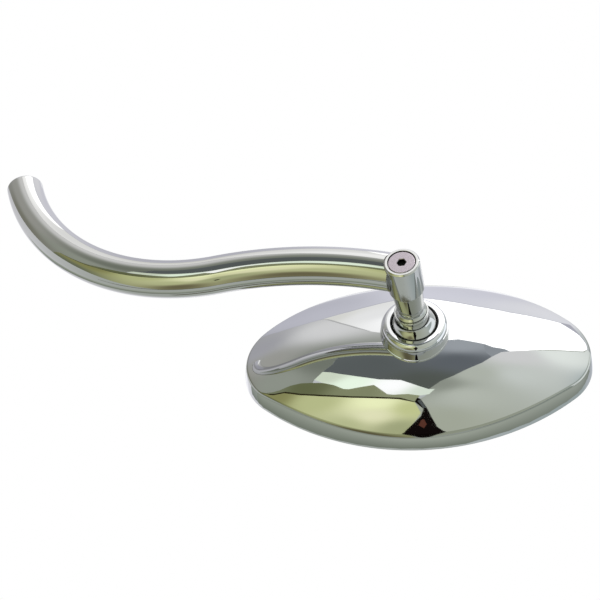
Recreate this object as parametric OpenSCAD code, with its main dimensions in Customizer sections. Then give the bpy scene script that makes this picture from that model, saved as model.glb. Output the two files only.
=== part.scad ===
// Right-hand motorcycle mirror with a bent round stem, as it stands when fitted.
// Millimetres. The origin is the mouth of the tapped hole in the stem's free end, and
// +Z runs up the hole. The domed back faces -Y and the glass faces +Y, to the rider.
// The stem lies in the XZ plane, and the post that carries the head runs along Y.

/* [Stem] */
// Diameter of the round stem bar
stem_d = 16.8; // [15.6:0.1:18]
// Centreline radius of the long lower bend
bend_r = 90.6; // [80:0.2:110]
// Angle that the lower bend turns
bend_angle = 81; // [72:0.5:86]
// Centreline radius of the reverse bend beside the knuckle
reverse_r = 175.5; // [150:0.5:220]
// Angle that the reverse bend turns back
reverse_angle = 27.3; // [20:0.1:34]
// Rounding chamfer on the free end
stem_end_chamfer = 1; // [0.4:0.1:2]
// Wall diameter of the tapped mounting hole
mount_hole_d = 8.8; // [8:0.1:9.4]
// Depth of the tapped mounting hole
mount_hole_depth = 18; // [12:0.5:20]
// Distance from the knuckle's axis at which the stem is cut square
stem_cut = 5; // [3.5:0.1:6]

/* [Knuckle] */
// Outer diameter of the upright barrel that takes the post
knuckle_d = 15.4; // [14.6:0.1:17]
// Height of the barrel
knuckle_h = 17.75; // [17:0.05:20]
// Depth of the stem's centreline below the top of the barrel
stem_drop = 8.45; // [8:0.05:9.4]
// Chamfer round the top of the barrel
knuckle_chamfer = 0.6; // [0.2:0.1:0.9]
// Thickness of the web under the screw head
web_t = 2.4; // [1.6:0.1:3]
// Wall of the plain bushing
bushing_wall = 1.15; // [0.8:0.05:1.4]

/* [Clamp screw] */
// Shank diameter of the long screw
screw_d = 6; // [5:0.5:6]
// Diameter of the flush head
screw_head_d = 11.6; // [10.8:0.1:12]
// Height of the head
screw_head_h = 3; // [2.6:0.1:3.4]
// Width across the flats of the hexagon socket
socket_af = 3.6; // [3:0.1:5]
// Depth of the hexagon socket
socket_depth = 2; // [1.2:0.1:2.2]
// Depth of the head's face below the barrel's top
screw_recess = 0.15; // [0:0.05:0.5]
// Thickness of the spring washer under the head
spring_washer_t = 1.6; // [1:0.1:2]
// Length of thread that the screw takes in the ball
screw_bite = 12; // [8:0.5:16]
// Depth of the ball's tapped hole past the end of the screw
thread_spare = 2; // [1:0.5:3]
// Distance of the spring washer's edge inside the screw head's
spring_washer_inset = 0.6; // [0.3:0.1:1]

/* [Post] */
// Length of the tapered post between its foot and its shoulder
post_len = 16.2; // [14:0.1:24]
// Diameter of the post above its foot
post_low_d = 11.7; // [11:0.1:13]
// Diameter of the post at its shoulder
post_top_d = 13.8; // [13:0.1:15]
// Diameter of the foot that sits in the ball's neck
post_foot_d = 13.6; // [13:0.1:14]
// Height of the foot before its bevel
post_foot_h = 1.3; // [1:0.1:2]
// Diameter of the spigot that turns in the bushing
spigot_d = 10; // [9:0.1:10.4]
// Chamfer on the end of the spigot
spigot_chamfer = 0.5; // [0.2:0.1:0.8]
// Thickness of the thrust washer under the barrel
thrust_t = 0.8; // [0.5:0.1:1.5]

/* [Ball joint] */
// Diameter of the ball
ball_d = 22; // [21:0.1:23]
// Diameter of the short neck on the ball
neck_d = 15.4; // [15:0.1:16]
// Height of the neck's top above the ball's centre
neck_h = 12.9; // [12:0.1:15]
// Depth of the recess in the neck that takes the post's foot
neck_recess = 0.9; // [0.5:0.1:1.4]
// Wall of the plastic cup that the ball turns in
liner_t = 1; // [0.8:0.1:1.4]
// Depth of the cup's upper edge below the ball's centre
cup_top = 1.1; // [0.8:0.1:2]
// Depth of the cup's lower edge below the ball's centre
cup_base = 11.4; // [10.6:0.1:11.6]
// Height of the ball's centre above the rim plane
ball_z = 32; // [31:0.1:34]
// Tilt of the post across the long axis in the stored pose
rest_tilt = 4.6; // [0:0.1:8]

/* [Collar] */
// Wall of the sleeve that passes through the shell
sleeve_wall = 1.6; // [1.4:0.1:2.4]
// Width of the collar's flange outside the sleeve
flange_w = 1.3; // [1:0.1:3]
// Height of the collar's mouth above the ball's centre
mouth_h = 5; // [4.6:0.1:5.6]
// Height of the collar's upright wall above the ball's centre
wall_top = 1.9; // [1:0.1:2.4]
// Draft of the upright wall
wall_draft = 0.55; // [0.2:0.05:1]
// Width of the flat land round the mouth
land_w = 1.3; // [0.4:0.1:1.6]
// Width of the step between the upright wall and the rounded shoulder
step_w = 0.35; // [0.2:0.05:0.6]
// Height of the rubber mouth seal
seal_h = 0.8; // [0.6:0.1:1]
// Width of the seal's pocket outside the ball's clearance
seal_w = 0.3; // [0.2:0.05:1]
// Height of the lip under the seal that keeps the cup in
lip_t = 1.2; // [0.8:0.1:1.8]
// Floor of the pressure cup under the ball's seat
press_floor = 1.4; // [1:0.1:2]
// Depth of the pressure cup's edge below the ball's centre
press_depth = 5.3; // [4:0.1:7]
// Thickness of the ring nut that clamps the collar
ring_nut_t = 3; // [2:0.1:4]
// Width of the ring nut outside the sleeve
ring_nut_w = 4.2; // [3:0.1:6]
// Thickness of the threaded plug that closes the sleeve
plug_t = 3; // [2:0.1:4]
// Thickness of each disc spring
disc_spring_t = 0.5; // [0.4:0.1:0.8]
// Free cone height of each disc spring
disc_spring_cone = 0.45; // [0.3:0.05:0.6]
// Diameter of the hole in each disc spring
disc_spring_hole_d = 10; // [8:0.1:12]
// Diameter of the hole in the middle of the threaded plug
plug_hole_d = 6; // [4:0.1:8]
// Diameter of the plug's two holes for a pin spanner
plug_pin_d = 3; // [2:0.1:3.4]
// Distance of those two holes from the middle
plug_pin_x = 7.8; // [6.5:0.1:8.6]
// Width of the ring nut's slots
nut_slot_w = 3; // [2:0.1:4]
// Depth of the ring nut's slots
nut_slot_depth = 1.4; // [1:0.1:1.9]

/* [Head] */
// Half of the head's length
head_half_l = 80; // [76:0.5:90]
// Half of the head's width
head_half_w = 43.9; // [42:0.1:50]
// Radius of the oval's two ends
tip_r = 24.5; // [22:0.5:27]
// Height of the rim wall
rim_h = 9; // [8.6:0.1:11]
// Distance that the rim wall leans in over its height
rim_draft = 1.3; // [0.4:0.1:1.6]
// Height of the dome's crown above the rim plane
dome_h = 29.8; // [28.6:0.1:30.4]
// Wall of the moulded shell
shell_t = 2.2; // [1.8:0.1:2.6]
// Angle of the head's long axis above level
head_level = 15.8; // [0:0.1:25]

/* [Glass] */
// Thickness of the mirror glass
glass_t = 3; // [2:0.1:3.2]
// Depth of the glass face inside the rim
glass_recess = 1; // [0.8:0.1:1.2]
// Wall of the rubber gasket round the glass
gasket_t = 1.2; // [1:0.1:1.6]
// Width of the gasket's lip over the glass
gasket_lip = 1.5; // [0.8:0.1:2.5]
// Height of the gasket's lip over the glass
lip_height = 0.7; // [0.4:0.1:0.8]
// Thickness of the foam pad
pad_t = 1; // [0.6:0.1:1.4]
// Distance of the foam pad's edge from the inside of the gasket
pad_inset = 2; // [1:0.1:4]
// Thickness of the backing plate
plate_t = 2; // [1.6:0.1:2.4]
// Distance of the plate screws from the head's ends
screw_from_end = 36; // [32:0.5:44]
// Distance of the plate screws from the head's sides
screw_from_side = 24.9; // [22:0.1:28]
// Shank diameter of the plate screws
plate_screw_d = 2.9; // [2.5:0.1:3.5]
// Length of the plate screws
plate_screw_len = 9; // [7:0.5:11]
// Length of the plate screws' cross recess
cross_len = 2.8; // [2:0.1:4]
// Width of the plate screws' cross recess
cross_w = 0.6; // [0.4:0.1:0.9]
// Wall of the bosses round the plate screws
boss_wall = 2; // [1.4:0.1:3]
// Distance of the backing plate's edge from the inside of the shell
plate_margin = 1; // [0.8:0.1:1.1]

/* [Hidden] */
$fn = 96;

// Gap of curved faces that turn on each other between two bodies
ball_gap = 0.3;
// Radial running clearance of the spigot in its bushing
run_gap = 0.05;
// Gap of flat faces that slide on each other between two bodies
slide_gap = 0.1;
// Radial clearance of fitted pieces that stay still
fit_gap = 0.05;
// Radial clearance of a screw in a plain hole
hole_gap = 0.2;
// Distance that a cutting shape runs past the face that it opens
past = 1;
// Gap that keeps the oval's four arcs from touching as they are cut
join_gap = 0.002;
// Gap between the disc springs' outer edge and the bore
disc_spring_gap = 0.6;
// Width of the flat pad round the ring nut
pad_rim = 0.5;

// Heights along the post, from the ball's centre
post_base = neck_h - neck_recess;
post_shoulder = post_base + post_len;
knuckle_base = post_shoulder + thrust_t + slide_gap;
knuckle_top = knuckle_base + knuckle_h;
screw_face = knuckle_top - screw_recess;
screw_seat = screw_face - screw_head_h;
web_top = screw_seat - spring_washer_t - slide_gap;
web_base = web_top - web_t;
stem_level = knuckle_top - stem_drop;
spigot_top = web_base - spigot_chamfer;
bushing_d = spigot_d + 2 * run_gap + 2 * bushing_wall;
counterbore_d = screw_head_d + 2 * (ball_gap + run_gap);
shaft_hole_d = screw_d + 2 * hole_gap;

// The stem's centreline in the XZ plane, from the free end to the knuckle
function turned(p, r, a0, a1) = p + r * [cos(a1) - cos(a0), sin(a1) - sin(a0)];
bend_end = turned([0, 0], bend_r, 0, bend_angle);
reverse_start_a = bend_angle + 180;
knuckle_at = turned(bend_end, reverse_r, reverse_start_a, reverse_start_a - reverse_angle);
stem_heading = 90 + bend_angle - reverse_angle;
ball_at = [knuckle_at[0], stem_level, knuckle_at[1]];

// Radii of the spherical seats, all about the ball's centre
ball_r = ball_d / 2;
mouth_r = ball_r + ball_gap;
cup_r = mouth_r + liner_t;
bore_r = cup_r + ball_gap;
sleeve_r = bore_r + sleeve_wall;
flange_r = sleeve_r + flange_w;
lip_h = mouth_h - seal_h - lip_t;
seal_r = sqrt(pow(mouth_r, 2) - pow(mouth_h - seal_h, 2)) + seal_w;

// Heights inside the head, from the rim plane
press_base = ball_z - bore_r - press_floor;
press_top = ball_z - press_depth;
press_r = bore_r - slide_gap;
spring_h = disc_spring_t + disc_spring_cone;
plug_top = press_base - 2 * spring_h;
sleeve_end = plug_top - plug_t;
pad_face = glass_recess + glass_t;
plate_face = pad_face + pad_t;
plate_back = plate_face + plate_t;

// The oval outline is four arcs: two ends of tip_r and two sides that meet them smoothly
end_x = head_half_l - tip_r;
side_r = (pow(end_x, 2) + pow(head_half_w, 2) - pow(tip_r, 2)) / (2 * (head_half_w - tip_r));
side_y = side_r - head_half_w;
join_dir = [end_x, side_y] / norm([end_x, side_y]);

// The rim wall leans in by this much for each millimetre of its height
lean = rim_draft / rim_h;

// The dome is a sphere stretched along the head, which meets the leaning wall at its top
dome_w = head_half_w - rim_draft;
dome_rise = dome_h - rim_h;
dome_r = (pow(dome_w, 2) + pow(dome_rise, 2)) / (2 * dome_rise);
dome_z = dome_h - dome_r;
dome_stretch = (head_half_l - rim_draft) / dome_w;

// Places of the plate screws, and size of the bosses that take them
plate_screw_x = head_half_l - screw_from_end;
plate_screw_y = head_half_w - screw_from_side;
boss_r = plate_screw_d / 2 + boss_wall;

// Radius and height of the flat pad round the hole, under the dome
pad_r = sleeve_r + ring_nut_w + pad_rim;
pad_z = dome_z + sqrt(pow(dome_r - shell_t, 2) - pow(pad_r, 2));

// Places a piece whose own z axis is the post's axis and whose origin is the ball's centre
module on_post() {
    translate(ball_at) rotate([90, 0, 0]) rotate([0, 0, 180 - head_level]) children();
}

// Places a piece that is drawn in the head's own frame, with z = 0 at the rim plane
module in_head() {
    on_post() rotate([0, rest_tilt, 0]) translate([0, 0, -ball_z]) children();
}

module ring(r_in, r_out, z0, z1) {
    translate([0, 0, z0]) difference() {
        cylinder(r = r_out, h = z1 - z0);
        translate([0, 0, -past]) cylinder(r = r_in, h = z1 - z0 + 2 * past);
    }
}

// Wedge of the plan in which the outline is the arc of one end
module end_wedge(s, h) {
    far = head_half_l;
    linear_extrude(height = h) polygon([
        [s * end_x, 0],
        [s * (end_x + far * join_dir[0]), far * join_dir[1]],
        [s * (end_x + 2 * far), 0],
        [s * (end_x + far * join_dir[0]), -far * join_dir[1]]
    ]);
}

// Slab in the shape of the oval outline, moved in by inset, from z0 to z1. Its wall leans in
// by slope for each millimetre of height: two side arcs, whose ends the end arcs trim.
module oval_slab(inset, z0, z1, slope = 0) {
    r = side_r - inset;
    t = tip_r - inset + join_gap;
    h = z1 - z0;
    translate([0, 0, z0]) difference() {
        intersection() {
            translate([0, -side_y, 0]) cylinder(r1 = r, r2 = r - slope * h, h = h, $fn = 360);
            translate([0, side_y, 0]) cylinder(r1 = r, r2 = r - slope * h, h = h, $fn = 360);
        }
        for (s = [-1, 1]) {
            difference() {
                translate([0, 0, -past]) end_wedge(s, h + 2 * past);
                translate([s * end_x, 0, -2 * past]) cylinder(r1 = t + 2 * slope * past,
                    r2 = t - slope * (h + 2 * past), h = h + 4 * past, $fn = 180);
            }
        }
    }
}

// Solid under the stretched dome, moved in by inset
module dome_solid(inset) {
    scale([dome_stretch, 1, 1]) translate([0, 0, dome_z]) sphere(r = dome_r - inset, $fn = 180);
}

module at_plate_screws() {
    for (sx = [-1, 1], sy = [-1, 1]) {
        translate([sx * plate_screw_x, sy * plate_screw_y, 0]) children();
    }
}

// The two bends, drawn from the point where they meet
module stem_bends() {
    translate([bend_end[0], 0, bend_end[1]]) rotate([90, 0, 0]) rotate([0, 0, bend_angle]) {
        translate([-bend_r, 0, 0]) mirror([0, 1, 0]) rotate_extrude(angle = bend_angle)
            translate([bend_r, 0]) circle(d = stem_d);
        translate([reverse_r, 0, 0]) mirror([1, 0, 0]) rotate_extrude(angle = reverse_angle)
            translate([reverse_r, 0]) circle(d = stem_d);
    }
}

// Ring that cuts the chamfer on the free end
module end_chamfer() {
    rotate_extrude() polygon([
        [stem_d / 2 - stem_end_chamfer, 0],
        [stem_d / 2 - stem_end_chamfer, -past],
        [stem_d / 2 + past, -past],
        [stem_d / 2 + past, stem_end_chamfer + past]
    ]);
}

module stem() {
    color("silver") difference() {
        stem_bends();
        end_chamfer();
        translate([0, 0, -past]) cylinder(d = mount_hole_d, h = mount_hole_depth + past);
        on_post() translate([0, 0, knuckle_base - past])
            cylinder(d = knuckle_d, h = knuckle_h + 2 * past);
        translate([knuckle_at[0], 0, knuckle_at[1]]) rotate([0, -stem_heading, 0])
            translate([-stem_cut, -stem_d, -stem_d]) cube(2 * stem_d);
    }
}

module knuckle() {
    color("silver") on_post() difference() {
        union() {
            translate([0, 0, knuckle_base]) cylinder(d = knuckle_d, h = knuckle_h - knuckle_chamfer);
            translate([0, 0, knuckle_top - knuckle_chamfer])
                cylinder(d1 = knuckle_d, d2 = knuckle_d - 2 * knuckle_chamfer, h = knuckle_chamfer);
        }
        translate([0, 0, knuckle_base - past])
            cylinder(d = bushing_d, h = web_base - knuckle_base + past);
        translate([0, 0, web_base - past]) cylinder(d = shaft_hole_d, h = web_t + 2 * past);
        translate([0, 0, web_top]) cylinder(d = counterbore_d, h = knuckle_top - web_top + past);
    }
}

module bushing() {
    color("ivory") on_post()
        ring(spigot_d / 2 + run_gap, bushing_d / 2, knuckle_base, web_base);
}

module post() {
    bevel = (post_foot_d - post_low_d) / 2;
    color("silver") on_post() rotate_extrude() polygon([
        [shaft_hole_d / 2, post_base],
        [post_foot_d / 2, post_base],
        [post_foot_d / 2, post_base + post_foot_h],
        [post_low_d / 2, post_base + post_foot_h + bevel],
        [post_top_d / 2, post_shoulder],
        [spigot_d / 2, post_shoulder],
        [spigot_d / 2, spigot_top - spigot_chamfer],
        [spigot_d / 2 - spigot_chamfer, spigot_top],
        [shaft_hole_d / 2, spigot_top]
    ]);
}

module ball_stud() {
    color("silver") on_post() difference() {
        union() {
            sphere(d = ball_d);
            cylinder(d = neck_d, h = neck_h);
        }
        translate([0, 0, post_base]) cylinder(d = post_foot_d + 4 * fit_gap, h = neck_recess + past);
        translate([0, 0, post_base - screw_bite - thread_spare])
            cylinder(d = screw_d + 2 * fit_gap, h = screw_bite + thread_spare + past);
    }
}

module clamp_screw() {
    color("rosybrown") on_post() difference() {
        union() {
            translate([0, 0, post_base - screw_bite])
                cylinder(d = screw_d, h = screw_seat - post_base + screw_bite);
            translate([0, 0, screw_seat]) cylinder(d = screw_head_d, h = screw_head_h);
        }
        translate([0, 0, screw_face - socket_depth])
            cylinder(d = socket_af / cos(30), h = socket_depth + past, $fn = 6);
    }
}

module spring_washer() {
    color("gray") on_post() ring(screw_d / 2 + hole_gap, screw_head_d / 2 - spring_washer_inset,
        screw_seat - spring_washer_t, screw_seat);
}

module thrust_washer() {
    color("dimgray") on_post()
        ring(spigot_d / 2 + fit_gap, post_top_d / 2, post_shoulder, post_shoulder + thrust_t);
}

// Plastic cup that lets the head tilt: a spherical band under the ball's equator
module ball_cup() {
    color("ivory") on_post() intersection() {
        difference() {
            sphere(r = cup_r);
            sphere(r = mouth_r);
        }
        translate([0, 0, -cup_base]) cylinder(r = cup_r + past, h = cup_base - cup_top);
    }
}

// Moulded oval shell: rim wall, dome, bosses for the plate screws and a pad round the hole.
// The glass and its plate sit in a pocket with an upright wall.
module shell() {
    color("gainsboro") in_head() difference() {
        intersection() {
            oval_slab(0, 0, dome_h + past, lean);
            dome_solid(0);
        }
        difference() {
            intersection() {
                oval_slab(shell_t, -past, dome_h + past);
                dome_solid(shell_t);
            }
            at_plate_screws() translate([0, 0, plate_back]) cylinder(r = boss_r, h = dome_h);
            translate([0, 0, pad_z]) cylinder(r = pad_r, h = dome_h);
        }
        oval_slab(shell_t, -past, plate_back);
        at_plate_screws() translate([0, 0, plate_back - past])
            cylinder(d = plate_screw_d + 2 * fit_gap, h = plate_screw_len);
        translate([0, 0, pad_z - past]) cylinder(r = sleeve_r + fit_gap, h = dome_h);
    }
}

// Stepped collar: its flange sits on the dome and its sleeve holds the ball joint
module collar() {
    land_r = seal_r + land_w;
    wall_r = flange_r - wall_draft;
    shoulder_r = wall_r - step_w;
    drop = mouth_h - wall_top;
    color("silver") in_head() difference() {
        union() {
            difference() {
                rotate_extrude() polygon(concat(
                    [[0, rim_h], [flange_r, rim_h], [flange_r, dome_h], [wall_r, ball_z + wall_top]],
                    [for (a = [0:15:90]) [
                        land_r + (shoulder_r - land_r) * cos(a),
                        ball_z + wall_top + drop * sin(a)
                    ]],
                    [[0, ball_z + mouth_h]]
                ));
                dome_solid(0);
            }
            translate([0, 0, sleeve_end]) cylinder(r = sleeve_r, h = dome_h - sleeve_end);
        }
        translate([0, 0, sleeve_end - past])
            cylinder(r = bore_r, h = ball_z - sleeve_end + past);
        intersection() {
            translate([0, 0, ball_z]) sphere(r = bore_r);
            translate([0, 0, ball_z - past]) cylinder(r = bore_r + past, h = lip_h + past);
        }
        translate([0, 0, ball_z]) sphere(r = mouth_r);
        translate([0, 0, ball_z + mouth_h - seal_h]) cylinder(r = seal_r, h = seal_h + past);
    }
}

module mouth_seal() {
    color([0.05, 0.05, 0.05]) in_head() translate([0, 0, ball_z]) difference() {
        translate([0, 0, mouth_h - seal_h]) cylinder(r = seal_r, h = seal_h);
        sphere(r = mouth_r);
    }
}

module pressure_cup() {
    color("gray") in_head() difference() {
        translate([0, 0, press_base]) cylinder(r = press_r, h = press_top - press_base);
        translate([0, 0, ball_z]) sphere(r = bore_r);
    }
}

// One conical disc spring, standing on its wide edge
module disc_spring() {
    r_out = bore_r - disc_spring_gap;
    rotate_extrude() polygon([
        [disc_spring_hole_d / 2, disc_spring_cone],
        [r_out, 0],
        [r_out, disc_spring_t],
        [disc_spring_hole_d / 2, spring_h]
    ]);
}

module disc_spring_1() {
    color("darkgray") in_head() translate([0, 0, plug_top]) disc_spring();
}

module disc_spring_2() {
    color("darkgray") in_head() translate([0, 0, press_base]) mirror([0, 0, 1]) disc_spring();
}

module sleeve_plug() {
    color("gray") in_head() difference() {
        translate([0, 0, sleeve_end]) cylinder(r = bore_r - fit_gap, h = plug_t);
        translate([0, 0, sleeve_end - past]) {
            cylinder(d = plug_hole_d, h = plug_t + 2 * past);
            for (s = [-1, 1]) {
                translate([s * plug_pin_x, 0, 0]) cylinder(d = plug_pin_d, h = plug_t + 2 * past);
            }
        }
    }
}

module ring_nut() {
    color("gray") in_head() difference() {
        ring(sleeve_r + fit_gap, sleeve_r + ring_nut_w, pad_z - ring_nut_t, pad_z);
        for (a = [0:60:300]) rotate([0, 0, a]) {
            translate([sleeve_r + ring_nut_w - nut_slot_depth, -nut_slot_w / 2,
                pad_z - ring_nut_t - past])
                cube([nut_slot_depth + past, nut_slot_w, ring_nut_t + 2 * past]);
        }
    }
}

module backing_plate() {
    color([0.12, 0.12, 0.12]) in_head() difference() {
        oval_slab(shell_t + plate_margin, plate_face, plate_back);
        at_plate_screws() translate([0, 0, plate_face - past]) {
            cylinder(d = plate_screw_d + 2 * hole_gap, h = plate_t + 2 * past);
            cylinder(d = 2 * (plate_screw_d + hole_gap), h = plate_t / 2 + past);
        }
    }
}

module plate_screw(sx, sy) {
    color("dimgray") in_head() translate([sx * plate_screw_x, sy * plate_screw_y, plate_face])
        difference() {
            union() {
                cylinder(d = 2 * plate_screw_d, h = plate_t / 2);
                cylinder(d = plate_screw_d, h = plate_screw_len);
            }
            for (a = [0, 90]) rotate([0, 0, a]) {
                translate([-cross_len / 2, -cross_w / 2, -past])
                    cube([cross_len, cross_w, plate_t / 4 + past]);
            }
        }
}

module plate_screw_1() { plate_screw(1, 1); }
module plate_screw_2() { plate_screw(-1, 1); }
module plate_screw_3() { plate_screw(-1, -1); }
module plate_screw_4() { plate_screw(1, -1); }

module foam_pad() {
    color("darkslategray") in_head()
        oval_slab(shell_t + gasket_t + pad_inset, pad_face, plate_face);
}

module mirror_glass() {
    color("lightblue") in_head()
        oval_slab(shell_t + gasket_t + 2 * fit_gap, glass_recess, pad_face);
}

module rim_gasket() {
    front = glass_recess - lip_height;
    color([0.05, 0.05, 0.05]) in_head() difference() {
        oval_slab(shell_t + fit_gap, front, plate_face);
        oval_slab(shell_t + gasket_t, glass_recess, plate_face + past);
        oval_slab(shell_t + gasket_t + gasket_lip, front - past, glass_recess + past);
    }
}

stem();
knuckle();
bushing();
post();
ball_stud();
clamp_screw();
spring_washer();
thrust_washer();
ball_cup();
shell();
collar();
mouth_seal();
pressure_cup();
disc_spring_1();
disc_spring_2();
sleeve_plug();
ring_nut();
backing_plate();
plate_screw_1();
plate_screw_2();
plate_screw_3();
plate_screw_4();
foam_pad();
mirror_glass();
rim_gasket();
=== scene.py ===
"""Looks of the motorcycle mirror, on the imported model's frame."""

import math

import bmesh
import bpy
from mathutils import Matrix, Vector


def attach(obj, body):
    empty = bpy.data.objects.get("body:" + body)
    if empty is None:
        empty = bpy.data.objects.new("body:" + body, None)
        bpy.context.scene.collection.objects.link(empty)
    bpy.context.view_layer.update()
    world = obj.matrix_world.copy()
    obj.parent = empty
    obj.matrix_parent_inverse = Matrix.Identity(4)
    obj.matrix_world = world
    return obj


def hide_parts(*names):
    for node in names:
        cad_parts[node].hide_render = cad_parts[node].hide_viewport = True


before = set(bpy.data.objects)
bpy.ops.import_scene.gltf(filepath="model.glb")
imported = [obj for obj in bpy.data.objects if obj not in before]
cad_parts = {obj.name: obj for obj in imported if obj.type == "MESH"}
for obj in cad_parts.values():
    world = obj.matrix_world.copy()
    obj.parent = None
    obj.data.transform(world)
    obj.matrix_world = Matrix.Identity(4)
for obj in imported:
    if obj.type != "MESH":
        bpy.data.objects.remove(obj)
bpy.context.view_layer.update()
MM = 0.001

# Sizes in millimetres, as in part.scad
STEM_D, STEM_CHAMFER, HOLE_D, HOLE_DEPTH, STEM_CUT = 16.8, 1.0, 8.8, 18.0, 5.0
BEND_R, BEND_A, REVERSE_R, REVERSE_A = 90.6, 81.0, 175.5, 27.3
KNUCKLE_D, KNUCKLE_BASE, KNUCKLE_TOP, KNUCKLE_CHAMFER = 15.4, 29.1, 46.85, 0.6
BUSHING_R, WEB_BASE, WEB_TOP, SHAFT_R, BORE_HEAD_R = 6.2, 39.6, 42.0, 3.2, 6.15
SCREW_D, SCREW_HEAD_D, SCREW_SEAT, SCREW_FACE = 6.0, 11.6, 43.7, 46.7
SOCKET_AF, SOCKET_DEPTH, SCREW_END = 3.6, 2.0, 0.0
POST_BASE, POST_SHOULDER, SPIGOT_TOP, SPIGOT_R = 12.0, 28.2, 39.1, 5.0
POST_LOW_R, POST_TOP_R, POST_FOOT_R, POST_FOOT_H = 5.85, 6.9, 6.8, 1.3
BALL_R, NECK_R, NECK_H = 11.0, 7.7, 12.9
BALL_Z, MOUTH_R, BORE_R, SLEEVE_R, FLANGE_R, WALL_R = 32.0, 11.3, 12.6, 14.2, 15.5, 14.95
MOUTH_Z, WALL_TOP_Z, SEAL_BASE_Z, SLEEVE_END_Z, LIP_Z = 37.0, 33.9, 36.2, 13.1, 35.0
SEAL_R, LAND_R, STEP_W = 10.79, 12.09, 0.35
HALF_L, HALF_W, TIP_R, RIM_H, DOME_H, SHELL_T, RIM_DRAFT = 80.0, 43.9, 24.5, 9.0, 29.8, 2.2, 1.3
BALL_AT = Vector((-152.871, 38.4, 121.384))
REST_TILT, HEAD_LEVEL = 4.6, 15.8
PLATE_SCREW_X, PLATE_SCREW_Y, PLATE_SCREW_D, PLATE_BACK = 44.0, 19.0, 2.9, 7.0
GASKET_T, GASKET_LIP, GLASS_RECESS, LIP_HEIGHT, PLATE_FACE = 1.2, 1.5, 1.0, 0.7, 5.0
FIT_GAP, SPIGOT_CHAMFER = 0.05, 0.5

# The mouth ring stops this far below the mouth, while in part.scad it ends at the mouth
SEAL_DEPTH = 0.3

# The hole's thread, which the source leaves to this script
THREAD_PITCH, THREAD_DEPTH, THREAD_FLANK, THREAD_STOP = 1.25, 0.5, 0.42, 1.6

# Mesh steps
ARC_STEPS, AROUND, BEND_STEPS, REVERSE_STEPS, THREAD_ROWS = 6, 128, 96, 60, 8
SIDE_STEPS, TIP_STEPS, RIM_ROWS, WALL_STEPS, FILLET_STEPS, DOME_STEPS = 72, 56, 8, 8, 8, 44
# Straight runs keep a point this close to each end
SUPPORT = 0.06
# The most of a side that one fillet may take
FILLET_SHARE = 0.48
# Faces that meet at more than this many degrees stay sharp
SHARP = 32.0
# The shell's crease: how far its fillet reaches, and how far the rim wall bulges
CREASE_REACH, WALL_BELLY = 0.9, 0.14
# Heights from here up are measured from the dome's surface
ON_DOME = 100.0

POST_M = (
    Matrix.Translation(BALL_AT)
    @ Matrix.Rotation(math.radians(90), 4, "X")
    @ Matrix.Rotation(math.radians(180 - HEAD_LEVEL), 4, "Z")
)
HEAD_M = (
    POST_M @ Matrix.Rotation(math.radians(REST_TILT), 4, "Y") @ Matrix.Translation((0, 0, -BALL_Z))
)

# The oval: two ends of TIP_R and two long sides that meet them smoothly
END_X = HALF_L - TIP_R
SIDE_R = (END_X**2 + HALF_W**2 - TIP_R**2) / (2 * (HALF_W - TIP_R))
SIDE_Y = SIDE_R - HALF_W
JOIN_A = math.atan2(SIDE_Y, END_X)
# The dome meets the leaning rim wall at its top
DOME_W = HALF_W - RIM_DRAFT
DOME_RISE = DOME_H - RIM_H
DOME_R = (DOME_W**2 + DOME_RISE**2) / (2 * DOME_RISE)
DOME_Z = DOME_H - DOME_R
STRETCH = (HALF_L - RIM_DRAFT) / DOME_W
SCREW_SPOTS = [(sx * PLATE_SCREW_X, sy * PLATE_SCREW_Y) for sx in (1, -1) for sy in (1, -1)]


def dome_height(x, y, inset=0.0):
    inside = (DOME_R - inset) ** 2 - y * y - (x / STRETCH) ** 2
    return DOME_Z + math.sqrt(max(inside, 0.0))


def srgb(*values):
    """Linear colour of a 0 to 255 screen colour."""
    out = []
    for v in values:
        c = v / 255
        out.append(c / 12.92 if c <= 0.04045 else ((c + 0.055) / 1.055) ** 2.4)
    return (*out, 1.0)


# Materials


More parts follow.
